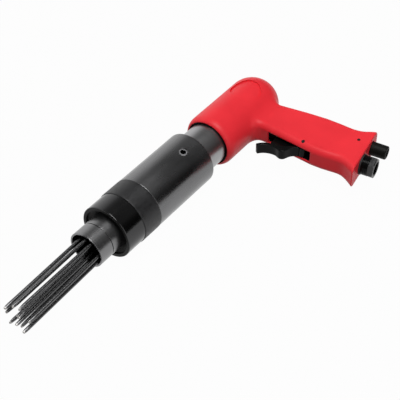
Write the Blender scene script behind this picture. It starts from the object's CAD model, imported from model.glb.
# Looks of the pistol-grip needle scaler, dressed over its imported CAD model.
# Sizes are in millimetres in the tool's own coordinates: x = 0 at the sleeve's rear edge, on the
# barrel's axis. at() turns them into the row frame in metres. The grip has coordinates of its own:
# u runs down the grip from the barrel's axis, v across it towards the needles.
import math
import bpy
import numpy as np
from mathutils import Matrix, Vector


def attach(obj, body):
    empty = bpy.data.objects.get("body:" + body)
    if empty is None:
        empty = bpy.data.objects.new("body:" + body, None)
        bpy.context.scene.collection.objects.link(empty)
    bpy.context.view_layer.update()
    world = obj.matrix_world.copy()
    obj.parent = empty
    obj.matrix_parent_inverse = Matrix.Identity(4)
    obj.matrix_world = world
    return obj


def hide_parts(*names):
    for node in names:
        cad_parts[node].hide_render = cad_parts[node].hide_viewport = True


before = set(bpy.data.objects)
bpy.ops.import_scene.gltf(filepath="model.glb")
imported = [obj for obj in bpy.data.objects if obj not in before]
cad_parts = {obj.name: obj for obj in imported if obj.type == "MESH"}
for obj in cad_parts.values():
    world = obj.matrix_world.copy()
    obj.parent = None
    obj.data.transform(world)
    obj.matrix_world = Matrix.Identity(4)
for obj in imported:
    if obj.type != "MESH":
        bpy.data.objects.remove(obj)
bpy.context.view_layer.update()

# Origin of the row frame
ORIGIN = np.array([53.4, 57.373, -25.2])

# Grip: its place and lean, length, and the rounding of its edges, its end and its neck
GRIP_X = -75.0
TILT = math.radians(8.5)
GRIP_START = 6
GRIP_LEN = 125.0
GRIP_EDGE = 6.0
END_EDGE = 1.3
NECK_BLEND = 7.0

# Front, rear and half thickness of the grip at stations along it
FRONT_U = [5, 22, 27, 31, 44, 56, 72, 82, 92, 101, 108, 112, 116, 120, 124, 126]
FRONT_V = [17, 17, 16.4, 16.4, 18.8, 21.3, 24, 26, 26.6, 26.3, 26, 26.9, 29, 31.8, 35, 37]
REAR_U = [5, 28, 34, 60, 78, 92, 104, 110, 114, 118, 121, 126]
REAR_V = [-20.3, -20.3, -20.5, -21.9, -22.1, -20.9, -19.4, -19.6, -20.4, -22.2, -23.6, -24.6]
HALF_U = [5, 20, 30, 104, 112, 118, 122, 126]
HALF_Z = [11.6, 11.6, 11, 11, 11.05, 11.2, 11.4, 11.6]
LINE_BLUR = 1.6
HALF_BLUR = 2.0

# Head: where the dome starts, front edge with its lip, and round recess
DOME_X = -94.3
HEAD_X = -24.3
HEAD_R = 24.9
LIP = 3.5
LIP_SHARE = 0.5
RECESS_X = -83.0
RECESS_R = 14.3
RECESS_DEEP = 1.3
RECESS_WALL = 0.04

# Hollows of the casting
BORE_R = 19.78
BORE_BACK = -76.0
MOUTH_R = 21.2
MOUTH_DEEP = 3.0
CHAMBER_R = 12.0
CHAMBER_FRONT = -75.0
SLOT_V = 10.0
SLOT_U = 58.9
SLOT_HALF = 22.1
SLOT_Z = 5.6
THROTTLE_U = 47.0
THROTTLE_R = 5.6
THROTTLE_FRONT = 11
THROTTLE_BACK = -10.2
INLET_V = 12.6
INLET_R = 7.7
INLET_FLOOR = 105.8
EXHAUST_V = -11.2
EXHAUST_R = 6.5
EXHAUST_FLOOR = 108.6

# Pins across the grip
TRIGGER_PIN = (20.0, 71.8)
EXHAUST_PIN = (-4.0, 114.5)
PIN_RINGS = [(-1, 0.0, 0.12), (-1, 1.0, 0.16), (-1, 1.5, 0.2),
             (1, 1.5, 0.2), (1, 1.0, 0.16), (1, 0.0, 0.12)]
PIN_SIDES = 32

# Stations along the barrel
SLEEVE_END = 73.4
RING_END = 94.2
NOSE_END = 139.1
TURNED_SIDES = 160
SLEEVE_SIDES = 240


# Coordinates

def at(points):
    """Points of the tool in the row frame."""
    return (np.asarray(points, dtype=float) - ORIGIN) / 1000.0


def grip_to_tool(points):
    """Points (v, u, z) of the grip in the tool's coordinates."""
    p = np.asarray(points, dtype=float)
    c = math.cos(TILT)
    s = math.sin(TILT)
    return np.stack([GRIP_X + p[..., 0] * c - p[..., 1] * s,
                     p[..., 0] * s + p[..., 1] * c,
                     p[..., 2]], axis=-1)


def tool_to_grip(x, y):
    """Coordinates v and u of the grip."""
    c = math.cos(TILT)
    s = math.sin(TILT)
    return (x - GRIP_X) * c + y * s, -(x - GRIP_X) * s + y * c


def turn_x(points, angle):
    """Points turned about the barrel's axis."""
    c = math.cos(angle)
    s = math.sin(angle)
    p = np.asarray(points)
    return np.stack([p[:, 0], p[:, 1] * c - p[:, 2] * s, p[:, 1] * s + p[:, 2] * c], axis=1)


# Materials

# Part of the noise's range that the drift of colour and gloss uses, and the grain's height in metres
DRIFT_LOW = 0.3
DRIFT_HIGH = 0.7
GRAIN_HEIGHT = 0.0004


def surface(name, base, rough, metallic=0.0, tone=0.12, tone_scale=90.0, rough_var=0.06, grain=0.03,
            grain_scale=900.0, stretch=(1, 1, 1), specular=0.5):
    """Colour that drifts a little, uneven gloss and a fine grain."""
    mat = bpy.data.materials.new(name)
    mat.use_nodes = True
    nodes = mat.node_tree.nodes
    links = mat.node_tree.links
    shader = nodes["Principled BSDF"]
    shader.inputs["Metallic"].default_value = metallic
    shader.inputs["Specular IOR Level"].default_value = specular
    where = nodes.new("ShaderNodeTexCoord")
    scale = nodes.new("ShaderNodeMapping")
    scale.inputs["Scale"].default_value = stretch
    links.new(where.outputs["Object"], scale.inputs["Vector"])
    drift = nodes.new("ShaderNodeTexNoise")
    drift.inputs["Scale"].default_value = tone_scale
    drift.inputs["Detail"].default_value = 4.0
    links.new(scale.outputs["Vector"], drift.inputs["Vector"])
    ramp = nodes.new("ShaderNodeValToRGB")
    dark = [c * (1 - tone) for c in base]
    light = [min(1.0, c * (1 + tone)) for c in base]
    ramp.color_ramp.elements[0].position = DRIFT_LOW
    ramp.color_ramp.elements[0].color = (*dark, 1)
    ramp.color_ramp.elements[1].position = DRIFT_HIGH
    ramp.color_ramp.elements[1].color = (*light, 1)
    links.new(drift.outputs["Fac"], ramp.inputs["Fac"])
    links.new(ramp.outputs["Color"], shader.inputs["Base Color"])
    gloss = nodes.new("ShaderNodeMapRange")
    gloss.inputs["From Min"].default_value = DRIFT_LOW
    gloss.inputs["From Max"].default_value = DRIFT_HIGH
    gloss.inputs["To Min"].default_value = max(0.02, rough - rough_var)
    gloss.inputs["To Max"].default_value = min(1.0, rough + rough_var)
    links.new(drift.outputs["Fac"], gloss.inputs["Value"])
    links.new(gloss.outputs["Result"], shader.inputs["Roughness"])
    if grain > 0:
        fine = nodes.new("ShaderNodeTexNoise")
        fine.inputs["Scale"].default_value = grain_scale
        fine.inputs["Detail"].default_value = 3.0
        links.new(scale.outputs["Vector"], fine.inputs["Vector"])
        bump = nodes.new("ShaderNodeBump")
        bump.inputs["Strength"].default_value = grain
        bump.inputs["Distance"].default_value = GRAIN_HEIGHT
        links.new(fine.outputs["Fac"], bump.inputs["Height"])
        links.new(bump.outputs["Normal"], shader.inputs["Normal"])
    return mat


RED = surface("red_paint", (0.78, 0.027, 0.038), 0.42, tone=0.05, tone_scale=35, rough_var=0.05,
              grain=0.06, grain_scale=420, specular=0.2)
SATIN = surface("sleeve_black", (0.17, 0.17, 0.173), 0.27, 1.0, tone=0.10, tone_scale=60,
                grain=0.02, grain_scale=1200, stretch=(0.4, 1, 1))
KNURL = surface("knurl_black", (0.008, 0.008, 0.009), 0.45, tone=0.25, tone_scale=300,
                grain=0.1, grain_scale=1500)
GLOSS = surface("cap_black", (0.06, 0.06, 0.061), 0.17, 1.0, tone=0.15, tone_scale=60,
                rough_var=0.03, grain=0.01, stretch=(0.3, 1, 1))
TUBE = surface("tube_steel", (0.21, 0.21, 0.213), 0.30, 1.0, tone=0.04, tone_scale=120,
               rough_var=0.015, grain=0.0, stretch=(6, 0.6, 0.6))
STEEL = surface("barrel_steel", (0.33, 0.33, 0.335), 0.30, 1.0, tone=0.04, tone_scale=120,
                rough_var=0.02, grain=0.0, stretch=(6, 0.6, 0.6))
WIRE = surface("needle_steel", (0.115, 0.115, 0.117), 0.27, 1.0, tone=0.05, tone_scale=160,
               rough_var=0.01, grain=0.0, stretch=(0.3, 2, 2))
TIP = surface("needle_tip", (0.42, 0.41, 0.40), 0.38, 0.6, tone=0.35, tone_scale=600, grain=0.15)
PLASTIC = surface("black_lever", (0.003, 0.003, 0.003), 0.20, tone=0.2, tone_scale=120,
                  grain=0.01, grain_scale=1400, specular=0.1)
MATT = surface("exhaust_matt", (0.006, 0.0065, 0.0055), 0.5, tone=0.3, tone_scale=160,
               grain=0.12, grain_scale=500, specular=0.1)
HEXED = surface("inlet_black", (0.009, 0.009, 0.010), 0.33, tone=0.3, tone_scale=160,
                grain=0.06, specular=0.6)
DARK = surface("dark_inside", (0.006, 0.006, 0.006), 0.55, tone=0.2, tone_scale=120,
               grain=0.06, specular=0.2)
RUBBER = surface("seal_rubber", (0.014, 0.014, 0.014), 0.7, tone=0.2, grain=0.15)
BRASS = surface("bush_brass", (0.55, 0.38, 0.12), 0.32, 1.0, tone=0.08, grain=0.06)
PLAIN = surface("inner_steel", (0.33, 0.33, 0.34), 0.35, 1.0, tone=0.08, grain=0.06)
BRIGHT = surface("screw_ring", (0.34, 0.34, 0.35), 0.38, 0.8, tone=0.1, grain=0.08)

CAD_LOOKS = {
    RED: ["handle_housing"],
    SATIN: ["sleeve"],
    KNURL: ["lock_ring"],
    GLOSS: ["front_cap"],
    TUBE: ["nose_tube"],
    STEEL: ["barrel"],
    PLASTIC: ["trigger"],
    HEXED: ["inlet_bushing"],
    MATT: ["exhaust_deflector"],
    RUBBER: ["inlet_washer", "throttle_seal", "barrel_seal", "rear_cushion"],
    BRASS: ["throttle_bush", "anvil_bush", "inlet_screen"],
    DARK: ["trigger_pin", "exhaust_pin"],
    PLAIN: ["valve_dowels", "throttle_stem", "throttle_spring", "valve_seat", "valve_case",
            "valve_flap", "piston", "anvil", "needle_holder", "return_spring"],
    BRIGHT: ["set_screws"],
    WIRE: ["needle_%02d" % i for i in range(1, 13)],
}
for look, names in CAD_LOOKS.items():
    for name in names:
        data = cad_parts[name].data
        data.materials.clear()
        data.materials.append(look)


# Mesh helpers

def bare_object(name, points, faces):
    """New object in the scene, with points in the tool's coordinates."""
    mesh = bpy.data.meshes.new(name)
    mesh.from_pydata([tuple(p) for p in at(points)], [], [tuple(int(i) for i in f) for f in faces])
    obj = bpy.data.objects.new(name, mesh)
    bpy.context.scene.collection.objects.link(obj)
    return obj


def smooth_by(mesh, degrees):
    """Smooth shading, with sharp edges where faces meet at more than this angle."""
    mesh.polygons.foreach_set("use_smooth", [True] * len(mesh.polygons))
    mesh.set_sharp_from_angle(angle=math.radians(degrees))


def piece(name, points, faces, looks, body, nodes, smooth=35.0, looks_of=None):
    """Piece that rides a body in place of CAD nodes. looks_of gives each face's look by number."""
    obj = bare_object(name, points, faces)
    mesh = obj.data
    mesh.validate()
    for look in looks:
        mesh.materials.append(look)
    if looks_of is not None:
        mesh.polygons.foreach_set("material_index", np.asarray(looks_of, dtype=np.int32))
    smooth_by(mesh, smooth)
    mesh.update()
    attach(obj, body)
    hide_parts(*nodes)
    return obj


def turns(sides):
    """Angles of the points of a ring."""
    return [2 * math.pi * k / sides for k in range(sides)]


def hex_grow(angle):
    """Distance to a hexagon's outline, as a share of that to its corners."""
    return math.cos(math.pi / 6) / math.cos(angle % (math.pi / 3) - math.pi / 6)


def bands(count, sides, closed=False, fans=False, base=0):
    """Faces between rings of points, each ring joined to the next. A closed stack also joins the last
    ring to the first. With fans, the first and last rings are single points."""
    faces = []
    for i in range(count if closed else count - 1):
        j = (i + 1) % count
        for k in range(sides):
            m = (k + 1) % sides
            face = (i * sides + k, i * sides + m, j * sides + m, j * sides + k)
            if fans and i == 0:
                face = (0, face[2], face[3])
            elif fans and j == count - 1:
                face = (face[0], face[1], j * sides)
            faces.append(tuple(base + n for n in face))
    return faces


def capped(count, sides, base=0):
    """Faces of a stack of rings with a flat cap at each end."""
    last = base + (count - 1) * sides
    faces = bands(count, sides, base=base)
    faces.append(tuple(base + k for k in range(sides - 1, -1, -1)))
    faces.append(tuple(last + k for k in range(sides)))
    return faces


def spin(profile, count):
    """Solid of revolution about X from a loop of (x, radius) points, anticlockwise seen with x to the
    right and the radius up."""
    pts = [(x, r * math.cos(a), r * math.sin(a)) for a in turns(count) for x, r in profile]
    n = len(profile)
    faces = []
    for k in range(count):
        a = k * n
        b = ((k + 1) % count) * n
        for i in range(n):
            j = (i + 1) % n
            faces.append((a + i, b + i, b + j, a + j))
    return np.array(pts), faces


def corner(a, b, c, r, n):
    """Points of a rounded corner at b between the lines from a and to c."""
    a, b, c = (np.array(p, dtype=float) for p in (a, b, c))
    u = (a - b) / np.linalg.norm(a - b)
    w = (c - b) / np.linalg.norm(c - b)
    half = math.acos(max(-1.0, min(1.0, float(u @ w)))) / 2
    r = min(r, 0.45 * min(np.linalg.norm(a - b), np.linalg.norm(c - b)) * math.tan(half))
    reach = r / math.tan(half)
    mid = b + (u + w) / np.linalg.norm(u + w) * r / math.sin(half)
    p = b + u * reach - mid
    q = b + w * reach - mid
    total = math.acos(max(-1.0, min(1.0, float(p @ q) / r / r)))
    out = []
    for i in range(n + 1):
        t = i / n
        v = (p * math.sin((1 - t) * total) + q * math.sin(t * total)) / max(1e-9, math.sin(total))
        out.append(tuple(mid + v))
    return out


def rounded(points, radii, n=4):
    """Closed outline with a rounded corner at each point, or a sharp one where the radius is 0."""
    out = []
    count = len(points)
    for i, (p, r) in enumerate(zip(points, radii)):
        if r <= 0:
            out.append(tuple(p))
        else:
            out += corner(points[i - 1], p, points[(i + 1) % count], r, n)
    return out


# Handle housing as one smooth casting, from a field that is negative inside

def smooth_min(a, b, k):
    """Union of a and b, blended over k."""
    h = np.maximum(k - np.abs(a - b), 0) / k
    return np.minimum(a, b) - h * h * k * 0.25


def cut_by(a, b, k):
    """Material a with b taken out, the edge rounded over k."""
    return -smooth_min(-a, b, k)


def round_meet(a, b, r):
    """What a and b share, the edge between them rounded with radius r."""
    a = a + r
    b = b + r
    out = np.sqrt(np.maximum(a, 0) ** 2 + np.maximum(b, 0) ** 2)
    return np.minimum(np.maximum(a, b), 0) + out - r


def along(stations, values, u, blur):
    """Value at u of the line through the stations, its corners blurred."""
    fine = 0.25
    grid = np.arange(stations[0], stations[-1] + fine, fine)
    line = np.interp(grid, stations, values)
    reach = np.arange(-4 * blur, 4 * blur + fine, fine)
    weight = np.exp(-0.5 * (reach / blur) ** 2)
    pad = len(reach) // 2
    before = line[0] + (np.arange(pad) - pad) * (line[1] - line[0])
    after = line[-1] + (np.arange(pad) + 1) * (line[-1] - line[-2])
    wide = np.concatenate([before, line, after])
    soft = np.convolve(wide, weight / weight.sum(), mode="valid")[:len(grid)]
    return np.interp(u, grid, soft).astype(np.float32)


def housing_field(x, y, z):
    v, u = tool_to_grip(x, y)
    rho = np.sqrt(y * y + z * z)
    # Domed head with a rounded front edge
    over = np.minimum(x - DOME_X, 0)
    from_axis = np.sqrt(over * over + rho * rho)
    head = round_meet(from_axis - HEAD_R, (x - HEAD_X) * LIP_SHARE, LIP)
    # Grip with rounded edges and a rounded rim at its end
    front = along(FRONT_U, FRONT_V, u, LINE_BLUR)
    rear = along(REAR_U, REAR_V, u, LINE_BLUR)
    half = along(HALF_U, HALF_Z, u, HALF_BLUR)
    grip = round_meet(np.abs(v - (front + rear) / 2) - (front - rear) / 2, np.abs(z) - half, GRIP_EDGE)
    grip = round_meet(grip, u - GRIP_LEN, END_EDGE)
    grip = np.maximum(grip, GRIP_START - u)
    body = smooth_min(head, grip, NECK_BLEND)
    # Round recess that follows the head's side
    inner = from_axis - (HEAD_R - RECESS_DEEP)
    recess = np.sqrt((x - RECESS_X) ** 2 + y * y) - RECESS_R
    recess = np.maximum(np.maximum(recess, -inner), -z)
    body = cut_by(body, recess, 0.4)
    # Bore, mouth and exhaust chamber
    bore = np.maximum(rho - BORE_R, BORE_BACK - x)
    mouth = np.maximum(rho - MOUTH_R, HEAD_X - MOUTH_DEEP - x)
    chamber = np.maximum(np.maximum(rho - CHAMBER_R, DOME_X - x), x - CHAMBER_FRONT)
    body = cut_by(body, np.minimum(bore, mouth), 0.6)
    body = np.maximum(body, -chamber)
    # Trigger slot
    slot = np.maximum(np.maximum(SLOT_V - v, np.abs(z) - SLOT_Z), np.abs(u - SLOT_U) - SLOT_HALF)
    body = cut_by(body, slot, 0.8)
    # Throttle bore
    throttle = np.maximum(np.sqrt((u - THROTTLE_U) ** 2 + z * z) - THROTTLE_R,
                          np.maximum(v - THROTTLE_FRONT, THROTTLE_BACK - v))
    body = np.maximum(body, -throttle)
    # Inlet and exhaust holes in the end face
    inlet = np.maximum(np.sqrt((v - INLET_V) ** 2 + z * z) - INLET_R, INLET_FLOOR - u)
    outlet = np.maximum(np.sqrt((v - EXHAUST_V) ** 2 + z * z) - EXHAUST_R, EXHAUST_FLOOR - u)
    return cut_by(body, np.minimum(inlet, outlet), 0.5)


def skin(field, low, high, step):
    """Surface net of a field: a vertex in each cell that the surface crosses."""
    axes = [np.arange(low[i], high[i] + step, step, dtype=np.float32) for i in range(3)]
    grid = np.meshgrid(*axes, indexing="ij")
    f = field(*grid).astype(np.float32)
    del grid
    shape = tuple(n - 1 for n in f.shape)
    total = np.zeros(shape + (3,), dtype=np.float32)
    count = np.zeros(shape, dtype=np.float32)
    crossings = []
    for axis in range(3):
        first = [slice(None)] * 3
        second = [slice(None)] * 3
        first[axis] = slice(0, -1)
        second[axis] = slice(1, None)
        a = f[tuple(first)]
        b = f[tuple(second)]
        cross = (a < 0) != (b < 0)
        crossings.append((cross, a < 0))
        t = np.where(cross, a / np.where(cross, a - b, 1), 0)
        others = [i for i in range(3) if i != axis]
        for d1 in (0, 1):
            for d2 in (0, 1):
                cell = [slice(None)] * 3
                cell[others[0]] = slice(d1, shape[others[0]] + d1)
                cell[others[1]] = slice(d2, shape[others[1]] + d2)
                hit = cross[tuple(cell)]
                total[..., axis] += np.where(hit, t[tuple(cell)], 0)
                total[..., others[0]] += hit * d1
                total[..., others[1]] += hit * d2
                count += hit
    active = count > 0
    index = np.full(shape, -1, dtype=np.int64)
    index[active] = np.arange(int(active.sum()))
    place = np.argwhere(active) + total[active] / count[active][:, None]
    points = np.array(low) + step * place
    quads = []
    for axis in range(3):
        cross, inside = crossings[axis]
        others = [i for i in range(3) if i != axis]
        core = [slice(None)] * 3
        core[others[0]] = slice(1, shape[others[0]])
        core[others[1]] = slice(1, shape[others[1]])
        hit = np.argwhere(cross[tuple(core)])
        side = inside[tuple(core)][tuple(hit.T)]
        hit[:, others[0]] += 1
        hit[:, others[1]] += 1
        ring = []
        for d1, d2 in ((1, 1), (0, 1), (0, 0), (1, 0)):
            cell = hit.copy()
            cell[:, others[0]] -= d1
            cell[:, others[1]] -= d2
            ring.append(index[tuple(cell.T)])
        ring = np.stack(ring, axis=1)
        flip = side if axis != 1 else ~side
        ring[~flip] = ring[~flip][:, ::-1]
        quads.append(ring)
    return points, np.concatenate(quads)


def settle(field, points, rounds=3):
    """Moves points onto the field's surface."""
    h = 0.02
    furthest = 0.3
    for i in range(rounds):
        x, y, z = points.T
        f = field(x, y, z)
        g = np.stack([field(x + h, y, z) - field(x - h, y, z),
                      field(x, y + h, z) - field(x, y - h, z),
                      field(x, y, z + h) - field(x, y, z - h)], axis=1) / (2 * h)
        size = np.maximum((g * g).sum(axis=1), 0.05)
        points = points - np.clip(f / size, -furthest, furthest)[:, None] * g
    return points


def crisp_recess(points, step):
    """Points near the wall of the recess, drawn onto its upper or lower edge."""
    x, y, z = points.T
    away = np.hypot(x - RECESS_X, y)
    near = (np.abs(away - RECESS_R) < 0.7 * step) & (z > 10)
    over = np.minimum(x - DOME_X, 0)
    deep = np.sqrt(over * over + y * y + z * z) < HEAD_R - RECESS_DEEP / 2
    share = np.where(deep, RECESS_R - RECESS_WALL, RECESS_R + RECESS_WALL) / np.maximum(away, 1.0)
    new_x = RECESS_X + (x - RECESS_X) * share
    new_y = y * share
    over = np.minimum(new_x - DOME_X, 0)
    radius = np.where(deep, HEAD_R - RECESS_DEEP, HEAD_R)
    new_z = np.sqrt(np.maximum(radius * radius - over * over - new_y * new_y, 0))
    return np.where(near[:, None], np.stack([new_x, new_y, new_z], axis=1), points)


def inside_faces(points, quads):
    """1 for each face inside the mouth, the bores or the trigger slot, which are bare and dark."""
    x, y, z = points[quads].mean(axis=1).T
    v, u = tool_to_grip(x, y)
    rho = np.sqrt(y * y + z * z)
    mouth = (rho < MOUTH_R + 0.3) & (x > DOME_X + 8) & (x < HEAD_X - 0.3) & (u < 21)
    deep = np.interp(u, FRONT_U, FRONT_V) - v > 1.6
    slot = (np.abs(z) < SLOT_Z + 0.3) & (np.abs(u - SLOT_U) < SLOT_HALF + 0.5) & (v > -12) & deep
    inlet = np.hypot(v - INLET_V, z) < INLET_R + 0.5
    outlet = np.hypot(v - EXHAUST_V, z) < EXHAUST_R + 0.5
    holes = (inlet | outlet) & (u > 104) & (u < GRIP_LEN - 0.6) & (np.abs(z) < 9)
    return (mouth | slot | holes).astype(np.int32)


HOUSING_LOW = (-121.0, -26.5, -26.5)
HOUSING_HIGH = (-19.5, 132.0, 26.5)
step = 0.6
points, quads = skin(housing_field, HOUSING_LOW, HOUSING_HIGH, step)
points = settle(housing_field, points.astype(np.float64))
points = crisp_recess(points, step)
piece("housing_casting", points, quads, [RED, DARK], "tool_body",
      ["handle_housing"], 62, inside_faces(points, quads))


def grip_side(v, u):
    """Height of the grip's side face above the middle."""
    front = np.interp(u, FRONT_U, FRONT_V)
    rear = np.interp(u, REAR_U, REAR_V)
    q = np.clip(np.abs(v - (front + rear) / 2) - (front - rear) / 2 + GRIP_EDGE, 0, GRIP_EDGE)
    return float(np.interp(u, HALF_U, HALF_Z) - GRIP_EDGE + np.sqrt(GRIP_EDGE ** 2 - q * q))


def pin_mesh(v, u):
    """Pin across the grip, its dimpled ends flush with the casting."""
    pts = []
    for side, r, rise in PIN_RINGS:
        for a in turns(PIN_SIDES):
            pv = v + r * math.cos(a)
            pu = u + r * math.sin(a)
            pts.append((pv, pu, side * (grip_side(pv, pu) + rise)))
    return grip_to_tool(pts), bands(len(PIN_RINGS), PIN_SIDES, fans=True)


for name, spot in (("trigger_pin", TRIGGER_PIN), ("exhaust_pin", EXHAUST_PIN)):
    pts, faces = pin_mesh(*spot)
    piece("flush_" + name, pts, faces, [DARK], "tool_body", [name])


# Barrel, sleeve and nose. Points beside a rounded corner keep the long faces evenly shaded

def turned(name, points, radii, looks, node, dull=None):
    """Turned piece on the barrel's axis. dull picks the faces with the second look."""
    pts, faces = spin(rounded(points, radii), TURNED_SIDES)
    owner = None
    if dull:
        mid = pts[np.array(faces)].mean(axis=1)
        owner = dull(mid[:, 0], np.hypot(mid[:, 1], mid[:, 2])).astype(np.int32)
    piece(name, pts, faces, looks, "tool_body", [node], 30, owner)


turned("barrel_turned",
       [(-58, 12), (14.2, 12), (14.2, 14), (29.7, 14), (29.7, 19.7), (-58, 19.7)],
       [0.4, 0, 0, 0.4, 0.6, 0.6], [STEEL], "barrel")

SLEEVE_LINE = [(0, 19.75), (30, 19.75), (30, 21.45), (SLEEVE_END, 21.45), (SLEEVE_END, 25), (72.6, 25),
               (36, 25), (30, 25), (25, 25), (13.6, 25), (8, 25), (2.2, 25), (0, 25)]
SLEEVE_ROUND = [0.4, 0, 0, 0, 0.35, 0, 0, 0, 0, 0, 0, 0, 1.3]

# Set screws: place along the sleeve, chamfered hole as (height, radius), and rings of the screw as
# (height, radius, 1 for a hexagon), the socket from SOCKET_RING on
SCREWS = 3
SCREW_X = 19.3
SCREW_SIDES = 48
SCREW_HOLE = [(18.5, 4.02), (24.55, 4.02), (26.0, 5.47)]
SCREW_RINGS = [(19.75, 3.4, 0), (20.4, 3.98, 0), (23.9, 3.98, 0), (24.45, 3.45, 0), (24.5, 2.6, 0),
               (24.3, 2.32, 1), (21.8, 2.28, 1)]
SOCKET_RING = 4


def screw_turn(i):
    """Angle of a set screw about the barrel's axis."""
    return math.radians(-16 - 120 * i)


def cutter(rings):
    """Stack of rings along Z, each (height, radius), as one closed mesh."""
    pts = [(r * math.cos(a), r * math.sin(a), h) for h, r in rings for a in turns(SCREW_SIDES)]
    return np.array(pts), capped(len(rings), SCREW_SIDES)


def take_out(obj, tools):
    """Cuts each tool out of obj, and deletes the tools."""
    for tool in tools:
        mod = obj.modifiers.new("cut", "BOOLEAN")
        mod.operation = "DIFFERENCE"
        mod.solver = "EXACT"
        mod.object = tool
    graph = bpy.context.evaluated_depsgraph_get()
    mesh = bpy.data.meshes.new_from_object(obj.evaluated_get(graph))
    obj.modifiers.clear()
    old = obj.data
    obj.data = mesh
    bpy.data.meshes.remove(old)
    for tool in tools:
        data = tool.data
        bpy.data.objects.remove(tool)
        bpy.data.meshes.remove(data)


pts, faces = spin(rounded(SLEEVE_LINE, SLEEVE_ROUND, 5), SLEEVE_SIDES)
sleeve = bare_object("sleeve_shell", pts, faces)
sleeve.data.materials.append(SATIN)
tools = []
for i in range(SCREWS):
    pts, faces = cutter(SCREW_HOLE)
    pts = turn_x(pts + np.array([SCREW_X, 0, 0]), screw_turn(i))
    tools.append(bare_object("hole_%d" % i, pts, faces))
take_out(sleeve, tools)
smooth_by(sleeve.data, 30)
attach(sleeve, "tool_body")
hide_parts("sleeve")


def set_screw_mesh():
    """Grub screws: a chamfered ring round a hexagon socket with a floor."""
    pts = []
    faces = []
    owner = []
    count = len(SCREW_RINGS)
    for i in range(SCREWS):
        ring = []
        for h, r, hexagon in SCREW_RINGS:
            for a in turns(SCREW_SIDES):
                grow = hex_grow(a) if hexagon else 1.0
                ring.append((SCREW_X + r * grow * math.cos(a), r * grow * math.sin(a), h))
        faces += capped(count, SCREW_SIDES, len(pts))
        pts += [tuple(p) for p in turn_x(ring, screw_turn(i))]
        for n in range(count - 1):
            owner += [1 if n >= SOCKET_RING else 0] * SCREW_SIDES
        owner += [0, 1]
    return pts, faces, owner


pts, faces, owner = set_screw_mesh()
piece("grub_screws", pts, faces, [BRIGHT, PLASTIC], "tool_body",
      ["set_screws"], 30, owner)

# Lock ring and its knurl
RING_R = 25.2
RING_BORE = 21.45
KNURL_SIDES = 480
KNURL_WAVES = 96
KNURL_ROWS = 52
KNURL_DEEP = 0.10


def knurled_ring():
    """Lock ring with a fine diamond knurl between two plain edges."""
    x0 = SLEEVE_END
    x1 = RING_END
    rows = [(x0 + 0.05, RING_BORE, 0), (x0 + 0.05, 24.75, 0), (x0 + 0.45, 25.15, 0)]
    for i in range(KNURL_ROWS + 1):
        rows.append((x0 + 0.9 + (x1 - x0 - 1.8) * i / KNURL_ROWS, RING_R, 1))
    rows += [(x1 - 0.45, 25.15, 0), (x1 - 0.05, 24.75, 0), (x1 - 0.05, RING_BORE, 0)]
    pitch = 2 * math.pi * RING_R / KNURL_WAVES
    pts = []
    for x, r, cut in rows:
        for a in turns(KNURL_SIDES):
            drop = 0.0
            if cut:
                p = KNURL_WAVES * a
                q = 2 * math.pi * (x - x0) / pitch
                drop = KNURL_DEEP * (1 - abs(math.cos((p + q) / 2)) * abs(math.cos((p - q) / 2)))
            pts.append((x, (r - drop) * math.cos(a), (r - drop) * math.sin(a)))
    faces = [(a, d, c, b) for a, b, c, d in bands(len(rows), KNURL_SIDES, closed=True)]
    return pts, faces


pts, faces = knurled_ring()
piece("lock_ring_knurled", pts, faces, [KNURL], "tool_body", ["lock_ring"], 60)

turned("front_cap_turned",
       [(58, 17.8), (100, 17.8), (100, 17.85), (105, 17.85), (105, 16.6), (110.1, 16.6), (112.1, 21.45),
        (114.5, 21.45), (114.5, 24.65), (113.4, 24.65), (95, 24.65), (RING_END, 24.65),
        (RING_END, 21.4), (58, 21.4)],
       [0.4, 0, 0, 0, 0.2, 0.4, 0.5, 0.35, 0.7, 0, 0, 0.4, 0, 0.5],
       [GLOSS, DARK], "front_cap", dull=lambda x, r: (x > 99) & (r < 24.0))

turned("nose_tube_turned",
       [(100, 14.95), (NOSE_END, 14.95), (NOSE_END, 16.55), (138.5, 16.55), (125.7, 16.55),
        (125.2, 16.55), (125.0, 15.75), (124.6, 15.75), (124.4, 16.55), (123.9, 16.55), (105, 16.55),
        (105, 17.8), (100, 17.8)],
       [0.4, 0.3, 0.3, 0, 0, 0.1, 0, 0, 0.1, 0, 0, 0.3, 0.3], [TUBE], "nose_tube")


# Needles

# Each needle: ring radius, angle from the grip towards up, slide back, and how far it leans at the
# nose and at its tip, in millimetres up and away from the grip
NEEDLES = [
    (2.7, 80, 4, -2.37, -5.75),
    (2.7, 200, 6, -3.70, -4.40),
    (2.7, 320, 0, -2.47, -4.65),
    (11.5, 8, 5.5, -1.30, -3.80),
    (11.5, 48, 4.5, 2.33, 1.20),
    (11.5, 88, 3, -0.07, -1.80),
    (11.5, 128, 0.5, -1.27, -3.35),
    (11.5, 168, 4, -0.97, -2.95),
    (11.5, 208, 5, 1.03, -0.30),
    (11.5, 248, 2, -0.77, -0.35),
    (11.5, 288, 5, 2.03, -1.75),
    (11.5, 328, 0, -1.35, -3.75),
]
LEAN_AT = (math.cos(math.radians(140)), math.sin(math.radians(140)))
LEAN_FROM = 90.0
NEEDLE_LEN = 168.0
NEEDLE_HEAD_X = 58.0
NEEDLE_R = 1.5
NEEDLE_FREE_R = 1.6
NEEDLE_SIDES = 20
CHISEL_LEN = 6.0
CHISEL_SHARE = 0.45
TIP_BANDS = 3


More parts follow.
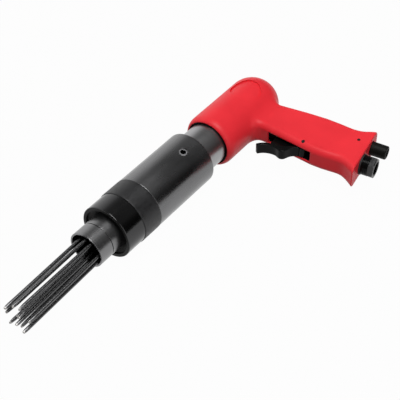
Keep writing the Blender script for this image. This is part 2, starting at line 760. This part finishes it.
def needle_mesh(i):
    """Headed needle with a worn chisel tip, leaning a little from the nose on."""
    rng = np.random.default_rng(1000 + i)
    ring, angle, back, at_nose, at_tip = NEEDLES[i]
    spot = (ring * math.cos(math.radians(angle)), ring * math.sin(math.radians(angle)))
    head = NEEDLE_HEAD_X - back
    tip = head + NEEDLE_LEN
    turn = rng.uniform(0, math.pi)
    rows = [(head, 0.0), (head, 1.7), (head + 0.3, 2.0), (head + 2.6, 2.0), (head + 2.9, 1.7)]
    for x in (head + 2.95, head + 3.3, LEAN_FROM):
        rows.append((x, NEEDLE_R))
    for x in (NOSE_END - 12, NOSE_END, NOSE_END + 25, NOSE_END + 50, tip - 8.0):
        rows.append((x, NEEDLE_FREE_R))
    for short, r in ((5.5, 1.58), (3.5, 1.5), (1.6, 1.35), (0.5, 1.12), (0.1, 0.85), (0.0, 0.0)):
        rows.append((tip - short, r))
    pts = []
    for x, r in rows:
        flat = max(0.0, (x - (tip - CHISEL_LEN)) / CHISEL_LEN)
        lean = float(np.interp(x, [LEAN_FROM, NOSE_END, tip], [0.0, at_nose, at_tip]))
        dy = spot[0] + lean * LEAN_AT[0]
        dz = spot[1] + lean * LEAN_AT[1]
        for a in turns(NEEDLE_SIDES):
            p = r * math.cos(a) * (1 - CHISEL_SHARE * flat)
            q = r * math.sin(a)
            pts.append((x, dy + p * math.cos(turn) - q * math.sin(turn),
                        dz + p * math.sin(turn) + q * math.cos(turn)))
    count = len(rows) - 1
    owner = [0] * ((count - TIP_BANDS) * NEEDLE_SIDES) + [1] * (TIP_BANDS * NEEDLE_SIDES)
    return pts, bands(len(rows), NEEDLE_SIDES, fans=True), owner


for i in range(len(NEEDLES)):
    pts, faces, owner = needle_mesh(i)
    name = "needle_%02d" % (i + 1)
    piece("drawn_" + name, pts, faces, [WIRE, TIP], name, [name], 40, owner)


# Trigger

LEVER_HALF = 5.0
HUB_R = 3.9
HUB_SIDES = 40
LEG = [(31, 43), (31, 52), (22, 71.8), (16.3, 53), (16.3, 44)]
LEG_HALF = 2.5


def curve(a, b, c, d, n):
    """Points of a Bezier curve."""
    a, b, c, d = (np.array(p, dtype=float) for p in (a, b, c, d))
    out = []
    for i in range(n + 1):
        t = i / n
        s = 1 - t
        out.append(s * s * s * a + 3 * s * s * t * b + 3 * s * t * t * c + t * t * t * d)
    return out


def blade_outline():
    """Side view of the two-finger blade, as (v, u)."""
    return (curve((37.7, 35.8), (34.5, 38.5), (32.4, 43), (32.4, 48.5), 12)
            + curve((32.4, 49), (32.4, 53.5), (36.2, 54.5), (34.4, 58.6), 10)
            + curve((34, 59.2), (32, 62), (27, 61.5), (24, 69.8), 10)
            + [np.array((17.0, 70.8))]
            + curve((22, 64.8), (26, 60), (28.6, 55), (28.8, 48.5), 10)
            + curve((28.8, 48), (28.8, 41), (31.5, 36.5), (35.4, 33.1), 12))


def slab(outline, half):
    """Outline in the grip's frame, thickened to both sides."""
    n = len(outline)
    pts = [(p[0], p[1], -half) for p in outline] + [(p[0], p[1], half) for p in outline]
    faces = [tuple(range(n - 1, -1, -1)), tuple(range(n, 2 * n))]
    for i in range(n):
        j = (i + 1) % n
        faces.append((i, j, n + j, n + i))
    return pts, faces


hub = [(TRIGGER_PIN[0] + HUB_R * math.cos(a), TRIGGER_PIN[1] + HUB_R * math.sin(a))
       for a in turns(HUB_SIDES)]
pts = []
faces = []
for outline, half in ((blade_outline(), LEVER_HALF), (hub, LEVER_HALF), (LEG, LEG_HALF)):
    base = len(pts)
    more, sides = slab(outline, half)
    pts += more
    faces += [tuple(i + base for i in face) for face in sides]
lever = piece("lever_trigger", grip_to_tool(pts), faces, [PLASTIC], "trigger",
              ["trigger"], 40)
soft = lever.modifiers.new("soft_edges", "BEVEL")
soft.width = 0.0008
soft.segments = 3
soft.limit_method = "ANGLE"
soft.angle_limit = math.radians(50)
soft.harden_normals = True


# Air inlet and exhaust

INLET_SIDES = 96
SHANK_END = 126.4
COLLAR_R = 8.8
COLLAR_GROOVES = (127.6, 129.2, 130.8)
COLLAR_END = 132.6
HEX_R = 17 / 2 / math.cos(math.pi / 6)
HEX_TURN = math.pi / 12
INLET_END = 138.2
THREAD_FROM = 137.3
THREAD_TO = 124.9
THREAD_PITCH = 1.34
EXHAUST_SIDES = 96
EXHAUST_LINE = [(109, 3.8), (139.7, 3.8), (139.7, 6.2), (126, 6.4), (109, 6.4)]
EXHAUST_ROUND = [0.3, 0.5, 1.1, 0, 0.4]


def inlet_rings():
    """Shank, round collar, chamfered hexagon and the turns of the inner thread, each ring as
    (u, radius, 1 for a hexagon)."""
    rings = [(107.0, 4.0, 0), (107.0, 7.0, 0), (107.6, 7.6, 0), (SHANK_END, 7.6, 0),
             (SHANK_END, 8.5, 0), (126.7, COLLAR_R, 0)]
    for u in COLLAR_GROOVES:
        rings += [(u, COLLAR_R, 0), (u + 0.2, 8.45, 0), (u + 0.6, 8.45, 0), (u + 0.8, COLLAR_R, 0)]
    rings += [(COLLAR_END, COLLAR_R, 0), (COLLAR_END, 9.0, 1), (133.0, HEX_R, 1), (137.6, HEX_R, 1)]
    rings += [(INLET_END, 8.1, 0), (INLET_END, 6.6, 0), (137.6, 6.1, 0)]
    u = THREAD_FROM
    while u > THREAD_TO:
        rings += [(u, 5.65, 0), (u - 0.35, 6.0, 0), (u - 0.7, 6.0, 0), (u - 1.0, 5.65, 0)]
        u -= THREAD_PITCH
    rings += [(124.2, 5.6, 0), (124.2, 4.0, 0)]
    return rings


rings = inlet_rings()
pts = []
for u, r, hexagon in rings:
    for a in turns(INLET_SIDES):
        grow = hex_grow(a - HEX_TURN) if hexagon else 1.0
        pts.append((INLET_V + r * grow * math.cos(a), u, -r * grow * math.sin(a)))
faces = bands(len(rings), INLET_SIDES, closed=True)
owner = np.repeat([1 if u > COLLAR_END - 0.1 and r > 7 else 0 for u, r, hexagon in rings], INLET_SIDES)
piece("inlet_hexagon", grip_to_tool(pts), faces, [PLASTIC, HEXED], "tool_body",
      ["inlet_bushing"], 25, owner)

pts, faces = spin(rounded(EXHAUST_LINE, EXHAUST_ROUND, 5), EXHAUST_SIDES)
pts = grip_to_tool(np.stack([EXHAUST_V + pts[:, 1], pts[:, 0], -pts[:, 2]], axis=1))
piece("exhaust_turned", pts, faces, [MATT], "tool_body", ["exhaust_deflector"], 35)


# Stage, light and camera

FLOOR_GREY = 0.26
FLOOR_GLOW = 0.975
FLOOR_HALF = 6
FLOOR_Z = -0.0002
SKY_STRENGTH = 1.2
SKY_STOPS = [(0.10, 0.95), (0.16, 0.68), (0.24, 0.26), (0.33, 0.13), (0.55, 0.10), (0.80, 0.10),
             (0.88, 0.02)]


def stage_material():
    """Floor that is seen and mirrored as white, and takes a soft shadow."""
    mat = bpy.data.materials.new("floor_white")
    mat.use_nodes = True
    nodes = mat.node_tree.nodes
    links = mat.node_tree.links
    nodes.clear()
    out = nodes.new("ShaderNodeOutputMaterial")
    mix = nodes.new("ShaderNodeMixShader")
    matt = nodes.new("ShaderNodeBsdfDiffuse")
    matt.inputs["Color"].default_value = (FLOOR_GREY, FLOOR_GREY, FLOOR_GREY, 1)
    glow = nodes.new("ShaderNodeEmission")
    glow.inputs["Strength"].default_value = 1.0
    path = nodes.new("ShaderNodeLightPath")
    seen = path.outputs["Is Camera Ray"]
    for kind in ("Is Glossy Ray", "Is Transmission Ray"):
        either = nodes.new("ShaderNodeMath")
        either.operation = "MAXIMUM"
        links.new(seen, either.inputs[0])
        links.new(path.outputs[kind], either.inputs[1])
        seen = either.outputs[0]
    share = nodes.new("ShaderNodeMath")
    share.operation = "MULTIPLY"
    share.inputs[1].default_value = FLOOR_GLOW
    links.new(seen, share.inputs[0])
    links.new(share.outputs[0], mix.inputs["Fac"])
    links.new(matt.outputs[0], mix.inputs[1])
    links.new(glow.outputs[0], mix.inputs[2])
    links.new(mix.outputs[0], out.inputs["Surface"])
    return mat


mesh = bpy.data.meshes.new("floor")
mesh.from_pydata([(-FLOOR_HALF, -FLOOR_HALF, 0), (FLOOR_HALF, -FLOOR_HALF, 0),
                  (FLOOR_HALF, FLOOR_HALF, 0), (-FLOOR_HALF, FLOOR_HALF, 0)], [], [(0, 1, 2, 3)])
mesh.materials.append(stage_material())
floor = bpy.data.objects.new("floor", mesh)
floor.location.z = FLOOR_Z
bpy.context.scene.collection.objects.link(floor)


def studio_world():
    """Sky that is bright behind the tool and dark beyond its grip, and seen as white."""
    world = bpy.data.worlds.new("studio")
    world.use_nodes = True
    nodes = world.node_tree.nodes
    links = world.node_tree.links
    nodes.clear()
    out = nodes.new("ShaderNodeOutputWorld")
    path = nodes.new("ShaderNodeLightPath")
    soft = nodes.new("ShaderNodeBackground")
    soft.inputs["Strength"].default_value = SKY_STRENGTH
    where = nodes.new("ShaderNodeTexCoord")
    parts = nodes.new("ShaderNodeSeparateXYZ")
    side = nodes.new("ShaderNodeMapRange")
    side.inputs["From Min"].default_value = -1.0
    sky = nodes.new("ShaderNodeValToRGB")
    ramp = sky.color_ramp.elements
    for n, (place, tone) in enumerate(SKY_STOPS):
        stop = ramp[n] if n < 2 else ramp.new(place)
        stop.position = place
        stop.color = (tone, tone, tone, 1)
    links.new(where.outputs["Generated"], parts.inputs["Vector"])
    links.new(parts.outputs["Y"], side.inputs["Value"])
    links.new(side.outputs["Result"], sky.inputs["Fac"])
    links.new(sky.outputs["Color"], soft.inputs["Color"])
    white = nodes.new("ShaderNodeBackground")
    white.inputs["Color"].default_value = (1, 1, 1, 1)
    white.inputs["Strength"].default_value = 1.0
    pick = nodes.new("ShaderNodeMixShader")
    links.new(path.outputs["Is Camera Ray"], pick.inputs["Fac"])
    links.new(soft.outputs[0], pick.inputs[1])
    links.new(white.outputs[0], pick.inputs[2])
    links.new(pick.outputs[0], out.inputs["Surface"])
    return world


bpy.context.scene.world = studio_world()


def lamp(name, place, aim, size, power):
    """Square lamp, with place, aim and size in metres."""
    data = bpy.data.lights.new(name, "AREA")
    data.energy = power
    data.size = size
    obj = bpy.data.objects.new(name, data)
    obj.location = place
    obj.rotation_euler = (Vector(aim) - Vector(place)).to_track_quat("-Z", "Y").to_euler()
    bpy.context.scene.collection.objects.link(obj)


lamp("key", (0.05, 0.2, 1.6), (0, 0, 0.02), 0.9, 21.5)
lamp("fill", (0.2, 1.3, 0.6), (-0.05, 0, 0.02), 1.1, 5.0)

# Camera: focal length in pixels of a picture of this width, place in metres, right and back
PICTURE = 400
FOCAL = 1032.28
SENSOR = 36
CAMERA_AT = (0.4861, 0.36313, 0.6229)
CAMERA_RIGHT = (-0.58850, 0.80850, 0.0001)
CAMERA_BACK = (0.5855, 0.4260, 0.6897)

camera_data = bpy.data.cameras.new("camera")
camera_data.sensor_width = SENSOR
camera_data.sensor_fit = "HORIZONTAL"
camera_data.lens = FOCAL * SENSOR / PICTURE
camera_data.shift_x = -0.0418
camera_data.shift_y = 0.0045
camera_data.clip_end = 20
camera = bpy.data.objects.new("camera", camera_data)
back = Vector(CAMERA_BACK).normalized()
up = back.cross(Vector(CAMERA_RIGHT)).normalized()
right = up.cross(back)
camera.matrix_world = Matrix(((right.x, up.x, back.x, CAMERA_AT[0]),
                              (right.y, up.y, back.y, CAMERA_AT[1]),
                              (right.z, up.z, back.z, CAMERA_AT[2]),
                              (0, 0, 0, 1)))
bpy.context.scene.collection.objects.link(camera)
bpy.context.scene.camera = camera
bpy.context.scene.view_settings.view_transform = "Standard"
